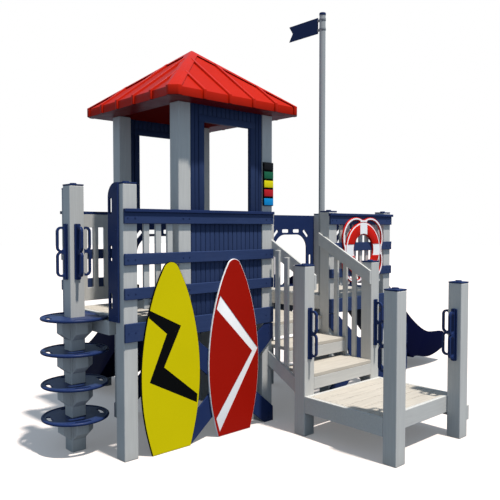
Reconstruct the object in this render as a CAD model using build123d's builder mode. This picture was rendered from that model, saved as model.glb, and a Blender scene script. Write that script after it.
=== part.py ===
"""Playground tower in the style of a lifeguard station.

Frame: millimetres, +Z up. The origin is the centre of the foot of the tower's front left post. +X runs along
the front to the right and +Y runs from the front to the back.
"""

import os

from build123d import *

os.makedirs("parts", exist_ok=True)

# ---------------------------------------------------------------- driving dimensions
POST = 140  # square side of every post

# plan, from post centre to post centre
BAY = 1065  # width of the tower, stair head and landing bays
LEFT_BAY = 585  # width of the narrow bay left of the tower
DEPTH = 1055  # front row to back row
STAIR_RUN = 605  # front row to the stair posts
LOW_DEPTH = 1058  # stair posts to the entry posts
CLIMBER_REACH = 235  # left row to the climber post

# levels above the ground
DECK = 1256
LOW_DECK = 400
BARRIER = 965  # top of a barrier above the deck
TALL_POST_TOP = DECK + BARRIER + 215
RAIL_POST_TOP = DECK + BARRIER + 15
STAIR_POST_TOP = DECK + 419
ENTRY_POST_TOP = LOW_DECK + 1115
EAVE = DECK + 1968
APEX = EAVE + 692

# boards
DECK_BOARD = 38  # thickness of a deck board
DECK_BOARD_W = 140  # greatest width of a deck board
BOARD_GAP = 6
FASCIA = 165  # height of the boards round a deck
FASCIA_T = 38
SIDE_BOARD = 145  # height of the board outside the right posts of the low deck
SIDE_BOARD_LOW = 160
SLAT = 102  # height of a barrier slat
SLAT_T = 25
CAP_BOARD = 30  # thickness of the board on top of a barrier
CAP_BOARD_LIP = 15  # its overhang past the slats
BALUSTER_W = 58
BALUSTER_T = 28
BALUSTER_TAIL = 95  # baluster below the lowest slat
LEFT_BALUSTERS = 3
BAY_BALUSTERS = 7
RAIL = 135  # height of the grey rails of a back barrier
BARRIER_GAP = 42  # under a back barrier
SHEET = 19  # plastic sheet of cut-out panels and plates
FIT = 0.5  # clearance between pieces that only pass each other

# stairs
RISE = 206  # from the low deck to each tread and to the stair head
RUN = 355  # from the front of a tread to the front of the next
TREADS = 2  # below the stair head
TREAD_T = 38
TREAD_OVERLAP = 60  # how far a tread runs under the riser behind it
RISER_T = 28
RISER_GAP = 46  # open slot under a riser board
STRINGER = 150  # upright height of the handrail board and of the stringer
STRINGER_T = 30
STRINGER_LOW = 417  # top of the stringer's line at the front of the stairs
RAIL_LOW = DECK + 330  # top of the handrail at its low end
RAIL_HIGH = DECK + 740  # top of the handrail at its high end
STAIR_BALUSTERS = 3

# post caps
CAP_T = 14
CAP_LIP = 0  # past the post on each side
KNOB_R = 30
KNOB = 12

# tower room
JAMB = 163  # width of a beadboard jamb beside a window
WALL_SET = 12  # wall behind the outer faces of the posts
WINDOW_HEAD = DECK + 1809
WALL_T = 24

# roof
ROOF_OVERHANG = 209  # eave past the outside of the posts
ROOF_CORNER = 56  # cut off each corner, along both sides
ROOF_FASCIA = 88
ROOF_SHELL = 22
ROOF_SEAT = 250  # width of the flat ledge that sits on the posts
APEX_FLAT = 24

# cut-out panels
ARCH_W = 628
ARCH_TOP = 700  # top of the opening above the deck
ARCH_R = 190
SLOT_W = 46
SLOT_L = 132
SLOT_R = 14
SLOT_PITCH = 210  # between the two slots over the opening
SLOT_RISE = 50  # their height over the opening
SLOT_CORNER = 296  # slanted slots, from the middle
SLOT_DROP = 14  # their height over the opening
SIDE_SLOTS = 2  # upright slots on each side

# slides
SLIDE_W = 616
SLIDE_RUN = 1885  # from the post's face to the nose
SLIDE_WALL = 32
SLIDE_LIP = 165  # rim above the deck
SLIDE_FOOT = 44  # half the foot's width, and its thickness
SLIDE_FOOT_AT = 0.66  # share of the run

# cross braces
BRACE_R = 150  # rounding of a notch
BRACE_WAIST = 0.26  # notch's tip, as a share of the way from the middle to the edge
BRACE_SIDE_MOUTH = 0.71  # mouth of a side notch, as a share of the side
BRACE_END_MOUTH = 0.8  # mouth of the top and bottom notches, as a share of the width
BRACE_TOP_GAP = 6

# disc climber
DISC_R = 305
DISC_STEP = 305
DISC_LOWEST = 330
DISC_COUNT = 4
DISC_RIM = 14
DISC_PLATE = 14
DISC_SLOT = 40
DISC_SLOT_TURN = -10
GUSSET_REACH = 78
GUSSET_W = 118
GUSSET_H = 195
GUSSET_FACE = 133
STEP_IN = 95  # from the posts to the frame under the highest disc

# surfboards
SURF_W = 650
SURF_FOOT = 421
SURF_TOP = 1745
SURF_T = 20
SURF_OUTLINE = [(0.855, 0.145), (1, 0.38), (0.922, 0.588), (0.68, 0.784)]  # half width and height, as shares
SURF_TIP = 78  # half width where the round tip starts, and its height under the top
SURF_TIP_H = 45
YELLOW_X = -185
RED_X = 573

# life ring
RING_R = 337
RING_HOLE_R = 190
RING_T = 22
RING_Z = DECK + 526
RING_SHIFT = -10  # ring's centre from the middle of its bay
ROPE_W = 34
ROPE_KNOT_R = 352  # middle of the rope where a band holds it
ROPE_LOOP_R = 436  # middle of the rope halfway between two bands
RING_BAND_W = 140

# flagpole
POLE_R = 36
POLE_TOP = DECK + 3314
FLAG_L = 470
FLAG_H = 185
FLAG_NOTCH = 60
FLAG_T = 12
FLAG_DROP = 38  # pole above the top of the flag
FLAG_BRACKET = 34

# handles
HANDLE_H = 508
HANDLE_PLATE = 60
HANDLE_REACH = 98
HANDLE_BAR = 20
HANDLE_T = 24
HANDLE_LOW = 760  # foot of the handles on the entry and stair posts
HANDLE_HIGH = 1582  # foot of the handles on the climber post
GRIP_PLATE = 166
GRIP_LIP = 5  # plate past the middle of its post, away from the deck
GRIP_FOOT = 34  # foot of a plate under the deck's top
GRIP_CORNER = 130
GRIP_SLOTS = 3
GRIP_SLOT = 150
GRIP_SLOT_LOW = 149  # middle of the lowest slot over the deck
GRIP_SLOT_STEP = 421

# colour plaque
PLAQUE_H = 452
PLAQUE_Z = DECK + BARRIER + 61

# ---------------------------------------------------------------- places worked out from them
HALF = POST / 2
X_LEFT = -LEFT_BAY
X_TOWER = 0
X_TOWER_R = BAY
X_LAND = 2 * BAY
X_LAND_R = 3 * BAY
Y_BACK = DEPTH
Y_STAIR = -STAIR_RUN
Y_ENTRY = -STAIR_RUN - LOW_DEPTH
X_CLIMB = X_LEFT - CLIMBER_REACH
Y_CLIMB = DEPTH / 2
COLUMNS = [X_LEFT, X_TOWER, X_TOWER_R, X_LAND, X_LAND_R]

RAIL_TOP = DECK + BARRIER
FRONT = -HALF  # outer face of the front row
BACK = Y_BACK + HALF
BEAM_TOP = DECK - DECK_BOARD
BEAM_LOW = DECK - FASCIA
STAIR_FRONT = Y_STAIR - HALF
PLATFORM = LOW_DECK + (TREADS + 1) * RISE  # the stair head, a step below the decks on both sides
PLATFORM_FRONT = STAIR_FRONT + TREADS * RUN

# tops of the slats, set down from the top of the barrier
FACADE_SLATS = [RAIL_TOP - CAP_BOARD, RAIL_TOP - 392, RAIL_TOP - 694]
LANDING_SLATS = [RAIL_TOP - CAP_BOARD, RAIL_TOP - 346, RAIL_TOP - 654]


def block(x, y, z, mode=Mode.ADD):
    """A box from its low and high coordinate along each axis, in the builder that is open."""
    with Locations(((x[0] + x[1]) / 2, (y[0] + y[1]) / 2, (z[0] + z[1]) / 2)):
        Box(x[1] - x[0], y[1] - y[0], z[1] - z[0], mode=mode)


def save(builder, name):
    builder.part.label = name
    export_step(builder.part, f"parts/{name}.step")


def clear_spans(columns):
    """The gaps between neighbouring posts of one row, as (start, end)."""
    return [(a + HALF, b - HALF) for a, b in zip(columns, columns[1:])]


# ---------------------------------------------------------------- posts
def posts(name, places, top):
    with BuildPart() as piece:
        for x, y in places:
            block((x - HALF, x + HALF), (y - HALF, y + HALF), (0, top))
    save(piece, name)


LEFT_POSTS = [(X_LEFT, 0), (X_LEFT, Y_BACK)]
TOWER_POSTS = [(x, y) for x in (X_TOWER, X_TOWER_R) for y in (0, Y_BACK)]
LANDING_POSTS = [(x, y) for x in (X_LAND, X_LAND_R) for y in (0, Y_BACK)]
STAIR_POSTS = [(x, Y_STAIR) for x in (X_TOWER_R, X_LAND)]
ENTRY_POSTS = [(x, Y_ENTRY) for x in (X_TOWER_R, X_LAND)]
CLIMBER_POST = [(X_CLIMB, Y_CLIMB)]

posts("left_bay_posts", LEFT_POSTS, TALL_POST_TOP)
posts("tower_posts", TOWER_POSTS, EAVE)
posts("landing_posts", LANDING_POSTS, RAIL_POST_TOP)
posts("stair_posts", STAIR_POSTS, STAIR_POST_TOP)
posts("entry_posts", ENTRY_POSTS, ENTRY_POST_TOP)
posts("climber_post", CLIMBER_POST, TALL_POST_TOP)

with BuildPart() as post_caps:
    capped = [
        (LEFT_POSTS, TALL_POST_TOP),
        (LANDING_POSTS, RAIL_POST_TOP),
        (STAIR_POSTS, STAIR_POST_TOP),
        (ENTRY_POSTS, ENTRY_POST_TOP),
        (CLIMBER_POST, TALL_POST_TOP),
    ]
    for places, top in capped:
        for x, y in places:
            reach = HALF + CAP_LIP
            block((x - reach, x + reach), (y - reach, y + reach), (top, top + CAP_T))
            with Locations((x, y, top + CAP_T)):
                Cylinder(KNOB_R, KNOB, align=(Align.CENTER, Align.CENTER, Align.MIN))
save(post_caps, "post_caps")


# ---------------------------------------------------------------- decks
def boards(x, y, top):
    """Deck boards along X that fill a width in Y with equal boards and narrow gaps."""
    width = y[1] - y[0]
    count = int(width // (DECK_BOARD_W + BOARD_GAP)) + 1
    board = (width - (count - 1) * BOARD_GAP) / count
    for i in range(count):
        low = y[0] + i * (board + BOARD_GAP)
        block(x, (low, low + board), (top - DECK_BOARD, top))


TOWER_DECK_X = (X_LEFT, X_TOWER_R + HALF)
LANDING_DECK_X = (X_LAND - HALF, X_LAND_R)
STAIR_HEAD_X = clear_spans(COLUMNS)[2]
DECK_SPANS = [span for span in clear_spans(COLUMNS) if span != STAIR_HEAD_X]
SIDE_BOARDS_X = [
    (X_LEFT, X_LEFT + FASCIA_T),
    (X_TOWER_R + HALF - FASCIA_T, X_TOWER_R + HALF),
    (X_LAND - HALF, X_LAND - HALF + FASCIA_T),
    (X_LAND_R - FASCIA_T, X_LAND_R),
]

# the boards run past the posts, and the rows beside the posts stop at them
with BuildPart() as upper_deck_boards:
    for x in (TOWER_DECK_X, LANDING_DECK_X):
        boards((x[0] + FASCIA_T, x[1] - FASCIA_T), (HALF + FIT, Y_BACK - HALF - FIT), DECK)
    for start, end in DECK_SPANS:
        block((start + FIT, end - FIT), (FASCIA_T, HALF - BOARD_GAP), (DECK - DECK_BOARD, DECK))
        block(
            (start + FIT, end - FIT),
            (Y_BACK - HALF + BOARD_GAP, Y_BACK - FASCIA_T),
            (DECK - DECK_BOARD, DECK),
        )
save(upper_deck_boards, "upper_deck_boards")

with BuildPart() as stair_head_boards:
    boards(STAIR_HEAD_X, (PLATFORM_FRONT, Y_BACK - FASCIA_T), PLATFORM)
save(stair_head_boards, "stair_head_boards")

with BuildPart() as deck_fascia:
    for start, end in DECK_SPANS:
        for y in ((0, FASCIA_T), (Y_BACK - FASCIA_T, Y_BACK)):
            block((start, end), y, (BEAM_LOW, DECK))
    for x in SIDE_BOARDS_X:
        block(x, (HALF, Y_BACK - HALF), (BEAM_LOW, DECK))
    block(STAIR_HEAD_X, (Y_BACK - FASCIA_T, Y_BACK), (PLATFORM - FASCIA, PLATFORM))
save(deck_fascia, "deck_fascia")

with BuildPart() as deck_joists:
    for x in (X_TOWER, X_TOWER_R - HALF, X_LAND + HALF):
        block(
            (x - FASCIA_T / 2, x + FASCIA_T / 2),
            (HALF, Y_BACK - HALF),
            (BEAM_LOW, DECK - DECK_BOARD),
        )
    for x in ((STAIR_HEAD_X[0], STAIR_HEAD_X[0] + FASCIA_T), (STAIR_HEAD_X[1] - FASCIA_T, STAIR_HEAD_X[1])):
        block(
            x,
            (PLATFORM_FRONT + RISER_T, Y_BACK - FASCIA_T),
            (PLATFORM - FASCIA, PLATFORM - DECK_BOARD),
        )
save(deck_joists, "deck_joists")

LOW_X = (X_TOWER_R - HALF, X_LAND + HALF)
LOW_Y = (Y_ENTRY + HALF, Y_STAIR - HALF)
with BuildPart() as low_deck_boards:
    boards(
        (LOW_X[0] + FASCIA_T, LOW_X[1] - FASCIA_T),
        (LOW_Y[0] + FASCIA_T, LOW_Y[1] - FASCIA_T),
        LOW_DECK,
    )
save(low_deck_boards, "low_deck_boards")

with BuildPart() as low_deck_fascia:
    block(LOW_X, LOW_Y, (LOW_DECK - FASCIA, LOW_DECK))
    block(
        (LOW_X[0] + FASCIA_T, LOW_X[1] - FASCIA_T),
        (LOW_Y[0] + FASCIA_T, LOW_Y[1] - FASCIA_T),
        (LOW_DECK - FASCIA, LOW_DECK),
        mode=Mode.SUBTRACT,
    )
save(low_deck_fascia, "low_deck_fascia")

with BuildPart() as low_side_board:
    block(
        (X_LAND + HALF, X_LAND + HALF + FASCIA_T),
        (Y_ENTRY - HALF, Y_STAIR + HALF),
        (SIDE_BOARD_LOW, SIDE_BOARD_LOW + SIDE_BOARD),
    )
save(low_side_board, "low_deck_side_board")

# ---------------------------------------------------------------- stairs
with BuildPart() as stair_treads:
    for i in range(TREADS):
        front = STAIR_FRONT + i * RUN
        top = LOW_DECK + (i + 1) * RISE
        block(STAIR_HEAD_X, (front, front + RUN + TREAD_OVERLAP), (top - TREAD_T, top))
save(stair_treads, "stair_treads")

# a board under the front of each tread and of the stair head
with BuildPart() as stair_risers:
    for i in range(TREADS + 1):
        front = STAIR_FRONT + i * RUN
        low = LOW_DECK + i * RISE
        block(STAIR_HEAD_X, (front, front + RISER_T), (low + RISER_GAP, low + RISE - TREAD_T))
save(stair_risers, "stair_risers")


RAIL_SLOPE = (RAIL_HIGH - RAIL_LOW) / (HALF - STAIR_FRONT)


def sloping_outline(x, y, top_at_front):
    """Outline of a board along the stairs that rises with the handrail, on the plane at X = x."""
    ends = [top_at_front + RAIL_SLOPE * (place - STAIR_FRONT) for place in y]
    with BuildSketch(Plane.YZ.offset(x)) as outline:
        with BuildLine():
            Polyline(
                (y[0], ends[0]),
                (y[1], ends[1]),
                (y[1], ends[1] - STRINGER),
                (y[0], ends[0] - STRINGER),
                close=True,
            )
        make_face()
    return outline.sketch


def stair_rail(x_face, inward):
    """Handrail, balusters and stringer on one side of the stairs; inward is +1 or -1 along X."""
    x_rail = (x_face, x_face + inward * STRINGER_T)
    x_baluster = sorted((x_face - inward * BALUSTER_T, x_face))
    x_stringer = (x_face - inward * BALUSTER_T, x_face - inward * (BALUSTER_T + STRINGER_T))
    clear = (Y_STAIR + HALF, -HALF)
    gap = (clear[1] - clear[0] - STAIR_BALUSTERS * BALUSTER_W) / (STAIR_BALUSTERS + 1)
    extrude(sloping_outline(min(x_rail), (STAIR_FRONT, HALF), RAIL_LOW), amount=STRINGER_T)
    extrude(sloping_outline(min(x_stringer), clear, STRINGER_LOW), amount=STRINGER_T)
    for i in range(STAIR_BALUSTERS):
        low = clear[0] + gap + i * (gap + BALUSTER_W)
        climb = RAIL_SLOPE * (low - STAIR_FRONT)
        block(
            x_baluster,
            (low, low + BALUSTER_W),
            (STRINGER_LOW + climb - 0.7 * STRINGER, RAIL_LOW + climb - 0.2 * STRINGER),
        )


with BuildPart() as stair_rails:
    stair_rail(STAIR_HEAD_X[0], 1)
    stair_rail(STAIR_HEAD_X[1], -1)
save(stair_rails, "stair_rails")


# ---------------------------------------------------------------- barriers
def balusters(x, y, z, count):
    """Equal upright boards with equal gaps across a clear span of X."""
    gap = (x[1] - x[0] - count * BALUSTER_W) / (count + 1)
    for i in range(count):
        low = x[0] + gap + i * (gap + BALUSTER_W)
        block((low, low + BALUSTER_W), y, z)


def slats(x, tops, height=SLAT):
    for top in tops:
        block(x, (FRONT - SLAT_T, FRONT), (top - height, top))


FACADE_X = (X_LEFT - HALF, X_TOWER_R + HALF)
with BuildPart() as facade_slats:
    slats(FACADE_X, FACADE_SLATS)
    slats(FACADE_X, [BEAM_TOP], FASCIA)
save(facade_slats, "facade_slats")

FRONT_BALUSTER_Y = (FRONT, FRONT + BALUSTER_T)
LEFT_SPAN = clear_spans(COLUMNS)[0]
LANDING_SPAN = clear_spans(COLUMNS)[3]
LANDING_X = (X_LAND - HALF, X_LAND_R + HALF)
with BuildPart() as landing_slats:
    slats(LANDING_X, LANDING_SLATS)
    slats(LANDING_X, [BEAM_TOP], FASCIA)
save(landing_slats, "landing_slats")

with BuildPart() as front_balusters:
    top = RAIL_TOP - CAP_BOARD
    low = FACADE_SLATS[-1] - SLAT - BALUSTER_TAIL
    balusters(LEFT_SPAN, FRONT_BALUSTER_Y, (low, top), LEFT_BALUSTERS)
    low = LANDING_SLATS[-1] - SLAT - BALUSTER_TAIL
    balusters(LANDING_SPAN, FRONT_BALUSTER_Y, (low, top), BAY_BALUSTERS)
save(front_balusters, "front_balusters")


LEFT_BACK = (X_LEFT - HALF, X_TOWER)
STAIR_HEAD_BACK = (X_TOWER_R, X_LAND)
with BuildPart() as back_barriers:
    back_y = (BACK - BALUSTER_T, BACK)
    top = RAIL_TOP - CAP_BOARD
    for span, floor, count in ((LEFT_SPAN, DECK, LEFT_BALUSTERS), (STAIR_HEAD_X, PLATFORM, BAY_BALUSTERS)):
        low = floor + BARRIER_GAP
        block(span, back_y, (top - RAIL, top))
        block(span, back_y, (low, low + RAIL))
        balusters(span, back_y, (low + RAIL, top - RAIL), count)
save(back_barriers, "back_barriers")

with BuildPart() as back_slats:
    for x in (LEFT_BACK, STAIR_HEAD_BACK):
        for top in FACADE_SLATS[1:]:
            block(x, (BACK, BACK + SLAT_T), (top - SLAT, top))
save(back_slats, "back_slats")

with BuildPart() as cap_boards:
    cap_z = (RAIL_TOP - CAP_BOARD, RAIL_TOP)
    cap_reach = SLAT_T + CAP_BOARD_LIP
    block(FACADE_X, (FRONT - cap_reach, FRONT), cap_z)
    block(LEFT_SPAN, (FRONT, FRONT + BALUSTER_T), cap_z)
    block(clear_spans(COLUMNS)[1], (FRONT, FRONT + WALL_SET), cap_z)
    block((LANDING_X[0] - CAP_BOARD_LIP, LANDING_X[1] + CAP_BOARD_LIP), (FRONT - cap_reach, FRONT), cap_z)
    block(LANDING_SPAN, (FRONT, FRONT + BALUSTER_T), cap_z)
    for x, span in ((LEFT_BACK, LEFT_SPAN), (STAIR_HEAD_BACK, STAIR_HEAD_X)):
        block(x, (BACK, BACK + cap_reach), cap_z)
        block(span, (BACK - BALUSTER_T, BACK), cap_z)
save(cap_boards, "cap_boards")

# ---------------------------------------------------------------- tower room walls
TOWER_SPAN = clear_spans(COLUMNS)[1]
with BuildPart() as tower_front_wall:
    wall_y = (FRONT + WALL_SET, FRONT + WALL_SET + WALL_T)
    block(TOWER_SPAN, wall_y, (BEAM_LOW, EAVE))
    block(
        (TOWER_SPAN[0] + JAMB, TOWER_SPAN[1] - JAMB),
        wall_y,
        (RAIL_TOP, WINDOW_HEAD),
        mode=Mode.SUBTRACT,
    )
save(tower_front_wall, "tower_front_wall")

with BuildPart() as tower_back_wall:
    wall_y = (BACK - WALL_SET - WALL_T, BACK - WALL_SET)
    block(TOWER_SPAN, wall_y, (RAIL_TOP - CAP_BOARD, EAVE))
    block(
        (TOWER_SPAN[0] + JAMB, TOWER_SPAN[1] - JAMB),
        wall_y,
        (RAIL_TOP, WINDOW_HEAD),
        mode=Mode.SUBTRACT,
    )
save(tower_back_wall, "tower_back_wall")


# ---------------------------------------------------------------- cut-out entry panels
def arch_panel(name, plane, width):
    """Sheet with a rounded opening down to the deck and hand slots round it.

    The plane's x runs along the panel from its middle, its y up from the ground and its normal is outward.
    """
    slot_top = DECK + ARCH_TOP + SLOT_RISE
    slot_side = (ARCH_W + width - POST) / 4
    with BuildSketch(plane) as opening:
        with BuildLine():
            Polyline((0, DECK), (ARCH_W / 2, DECK), (ARCH_W / 2, DECK + ARCH_TOP - ARCH_R))
            TangentArc(
                (ARCH_W / 2, DECK + ARCH_TOP - ARCH_R),
                (ARCH_W / 2 - ARCH_R, DECK + ARCH_TOP),
                tangent=(0, 1),
            )
            Line((ARCH_W / 2 - ARCH_R, DECK + ARCH_TOP), (0, DECK + ARCH_TOP))
            mirror(about=Plane.YZ)
        make_face()
    with BuildSketch(plane) as slots:
        with Locations((-SLOT_PITCH / 2, slot_top), (SLOT_PITCH / 2, slot_top)):
            RectangleRounded(SLOT_L, SLOT_W, SLOT_R)
        with Locations(Location((SLOT_CORNER, DECK + ARCH_TOP + SLOT_DROP), -45)):
            RectangleRounded(SLOT_L, SLOT_W, SLOT_R)
        with Locations(Location((-SLOT_CORNER, DECK + ARCH_TOP + SLOT_DROP), 45)):
            RectangleRounded(SLOT_L, SLOT_W, SLOT_R)
        for i in range(SIDE_SLOTS):
            height = DECK + ARCH_TOP / 2 - i * 1.5 * SLOT_L
            with Locations((-slot_side, height), (slot_side, height)):
                RectangleRounded(SLOT_W, SLOT_L, SLOT_R)
    with BuildPart() as piece:
        with BuildSketch(plane):
            with Locations((0, (BEAM_LOW + RAIL_TOP) / 2)):
                Rectangle(width, RAIL_TOP - BEAM_LOW)
        extrude(amount=SHEET)
        extrude(opening.sketch, amount=SHEET, mode=Mode.SUBTRACT)
        extrude(slots.sketch, amount=SHEET, mode=Mode.SUBTRACT)
    save(piece, name)


MID_TOWER = BAY / 2
MID_LANDING = X_LAND + BAY / 2
back_plane = Plane(origin=(MID_TOWER, BACK, 0), x_dir=(-1, 0, 0), z_dir=(0, 1, 0))
arch_panel("tower_back_entry_panel", back_plane, BAY)
back_plane = Plane(origin=(MID_LANDING, BACK, 0), x_dir=(-1, 0, 0), z_dir=(0, 1, 0))
arch_panel("landing_back_entry_panel", back_plane, BAY)
side_plane = Plane(origin=(X_LAND_R + HALF, DEPTH / 2, 0), x_dir=(0, 1, 0), z_dir=(1, 0, 0))
arch_panel("landing_side_entry_panel", side_plane, DEPTH)

# ---------------------------------------------------------------- slides
def run_point(along, up):
    """A point of the slide's side view, as shares of its run and of the deck's height."""
    return (along * SLIDE_RUN, up * DECK)


RIM_START = (0.03 * SLIDE_RUN, DECK + SLIDE_LIP)
BED_START = (0.07 * SLIDE_RUN, DECK)
NOSE = run_point(1, 0.277)
RIM_CURVE = [
    RIM_START,
    run_point(0.2, 1.015),
    run_point(0.424, 0.706),
    run_point(0.592, 0.51),
    run_point(0.74, 0.405),
    run_point(0.92, 0.378),
    NOSE,
]
UNDER_CURVE = [
    NOSE,
    run_point(0.927, 0.153),
    run_point(0.822, 0.114),
    run_point(0.705, 0.108),
    run_point(0.563, 0.145),
    run_point(0.44, 0.24),
]
BED_CURVE = [
    BED_START,
    run_point(0.424, 0.59),
    run_point(0.592, 0.385),
    run_point(0.77, 0.285),
    run_point(1.02, 0.262),
]


def slide(name, plane):
    """Slide whose plane has x along the run and y up from the ground; returns its foot."""
    with BuildSketch(plane) as side:
        with BuildLine():
            Line((SHEET, DECK + SLIDE_LIP), RIM_START)
            Spline(*RIM_CURVE, tangents=((1, -0.2), (0, -1)))
            Spline(*UNDER_CURVE, tangents=((0, -1), (-1, 0.97)))
            Polyline(UNDER_CURVE[-1], (SHEET, BEAM_LOW), (SHEET, DECK + SLIDE_LIP))
        make_face()
    with BuildSketch(plane) as trough:
        with BuildLine():
            Line((0, DECK), BED_START)
            Spline(*BED_CURVE, tangents=((1, 0), (1, 0)))
            Polyline(BED_CURVE[-1], (BED_CURVE[-1][0], RAIL_TOP), (0, RAIL_TOP), (0, DECK))
        make_face()
    with BuildPart() as piece:
        extrude(side.sketch, amount=SLIDE_W / 2, both=True)
        extrude(trough.sketch, amount=SLIDE_W / 2 - SLIDE_WALL, both=True, mode=Mode.SUBTRACT)
    save(piece, name)
    with BuildSketch(plane) as leg:
        with Locations((SLIDE_FOOT_AT * SLIDE_RUN, 0)):
            Rectangle(SLIDE_FOOT, UNDER_CURVE[1][1], align=(Align.CENTER, Align.MIN))
    with BuildPart() as foot:
        extrude(leg.sketch, amount=SLIDE_FOOT, both=True)
        add(piece.part, mode=Mode.SUBTRACT)
    return foot.part


side_run = Plane(origin=(X_LAND_R + HALF, DEPTH / 2, 0), x_dir=(1, 0, 0), z_dir=(0, -1, 0))
tower_run = Plane(origin=(MID_TOWER, BACK, 0), x_dir=(0, 1, 0), z_dir=(1, 0, 0))
landing_run = Plane(origin=(MID_LANDING, BACK, 0), x_dir=(0, 1, 0), z_dir=(1, 0, 0))
feet = [
    slide("landing_side_slide", side_run),
    slide("landing_back_slide", landing_run),
    slide("tower_back_slide", tower_run),
]
with BuildPart() as slide_feet:
    add(feet)
save(slide_feet, "slide_feet")


# ---------------------------------------------------------------- cross braces
def brace_panel(name, x_middle, y_face, outward):
    """X-shaped sheet with rounded notches, on the outer faces of the two posts of a bay under the deck."""
    wide = BAY / 2 + HALF
    tall = (BEAM_TOP - FASCIA - BRACE_TOP_GAP) / 2
    with BuildPart() as piece:
        with BuildSketch(Plane(origin=(x_middle, y_face, tall), x_dir=(1, 0, 0), z_dir=(0, outward, 0))):
            Rectangle(2 * wide, 2 * tall)
            for turn in range(4):
                across, mouth = (wide, BRACE_SIDE_MOUTH * tall)
                if turn % 2 == 1:
                    across, mouth = (tall, BRACE_END_MOUTH * wide)
                with BuildSketch(mode=Mode.PRIVATE) as notch:
                    with BuildLine():
                        Polyline(
                            (across + 1, mouth),
                            (BRACE_WAIST * across, 0),
                            (across + 1, -mouth),
                            close=True,
                        )
                    make_face()
                    fillet(notch.vertices().sort_by(Axis.X)[0], BRACE_R)
                add(Rotation(0, 0, 90 * turn) * notch.sketch, mode=Mode.SUBTRACT)
        extrude(amount=SHEET)
    save(piece, name)


brace_panel("brace_panel_front", MID_TOWER, FRONT, -1)
brace_panel("brace_panel_back", MID_TOWER, BACK, 1)
brace_panel("brace_panel_landing", (X_LAND + X_LAND_R) / 2, FRONT, -1)

# ---------------------------------------------------------------- disc climber
with BuildPart() as climber_discs:
    for i in range(DISC_COUNT):
        top = DISC_LOWEST + i * DISC_STEP
        with Locations((X_CLIMB, Y_CLIMB, top - DISC_RIM)):
            Torus(DISC_R - DISC_RIM, DISC_RIM)
            Cylinder(DISC_R - DISC_RIM, DISC_PLATE)
            with Locations((0, 0, 0)):
                Box(POST, POST, 4 * DISC_RIM, mode=Mode.SUBTRACT)
        with BuildSketch(Plane.XY.offset(top - 4 * DISC_RIM)):
            with Locations((X_CLIMB, Y_CLIMB)):
                with PolarLocations(0, 4, start_angle=DISC_SLOT_TURN):
                    SlotArc(
                        CenterArc((0, 0), DISC_R - 4.6 * DISC_RIM, -13, 26).edge(),
                        DISC_SLOT,
                    )
        extrude(amount=8 * DISC_RIM, mode=Mode.SUBTRACT)
    # the highest disc stops at the edge of the deck
    block((X_LEFT - FIT, X_LEFT + DISC_R), (0, Y_BACK), (BEAM_LOW - FIT, RAIL_TOP), mode=Mode.SUBTRACT)
save(climber_discs, "climber_discs")

with BuildPart() as climber_gussets:
    for i in range(DISC_COUNT):
        top = DISC_LOWEST + i * DISC_STEP - DISC_RIM - DISC_PLATE / 2
        for turn in range(4):
            side = Plane(origin=(X_CLIMB, Y_CLIMB, top)).rotated((0, 0, 90 * turn))
            with BuildSketch(Plane(origin=side.origin, x_dir=side.x_dir, z_dir=-side.y_dir)) as profile:
                with BuildLine():
                    Polyline(
                        (HALF, 0),
                        (HALF + GUSSET_REACH, 0),
                        (HALF + GUSSET_REACH, -GUSSET_FACE),
                        (HALF, -GUSSET_H),
                        close=True,
                    )
                make_face()
            extrude(profile.sketch, amount=GUSSET_W / 2, both=True)
save(climber_gussets, "climber_gussets")

# boards stand out from the deck to meet the highest gusset, under its disc
STEP_X = (X_CLIMB + HALF + GUSSET_REACH + FIT, X_LEFT)
STEP_Y = (HALF + STEP_IN, Y_BACK - HALF - STEP_IN)
STEP_Z = (BEAM_LOW, DISC_LOWEST + (DISC_COUNT - 1) * DISC_STEP - 2 * DISC_RIM - FIT)
with BuildPart() as climber_step:
    block((STEP_X[0], STEP_X[0] + FASCIA_T), STEP_Y, STEP_Z)
    for y in ((STEP_Y[0], STEP_Y[0] + FASCIA_T), (STEP_Y[1] - FASCIA_T, STEP_Y[1])):
        block((STEP_X[0] + FASCIA_T, STEP_X[1]), y, STEP_Z)
save(climber_step, "climber_step")


# ---------------------------------------------------------------- surfboards
def surfboard(name, x):
    """Flat pointed board on edge, standing on the ground in front of the slats."""
    with BuildPart() as piece:
        with BuildSketch(Plane(origin=(x, FRONT - SLAT_T, 0), x_dir=(1, 0, 0), z_dir=(0, -1, 0))):
            with BuildLine():
                Line((0, 0), (SURF_FOOT / 2, 0))
                Spline(
                    (SURF_FOOT / 2, 0),
                    *[(width * SURF_W / 2, height * SURF_TOP) for width, height in SURF_OUTLINE],
                    (SURF_TIP, SURF_TOP - SURF_TIP_H),
                    tangents=((0.3, 1), (-0.5, 0.87)),
                )
                mirror(about=Plane.YZ)
                ThreePointArc(
                    (SURF_TIP, SURF_TOP - SURF_TIP_H), (0, SURF_TOP), (-SURF_TIP, SURF_TOP - SURF_TIP_H)
                )
            make_face()
        extrude(amount=SURF_T)
    save(piece, name)


surfboard("surfboard_yellow", YELLOW_X)
surfboard("surfboard_red", RED_X)

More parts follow.
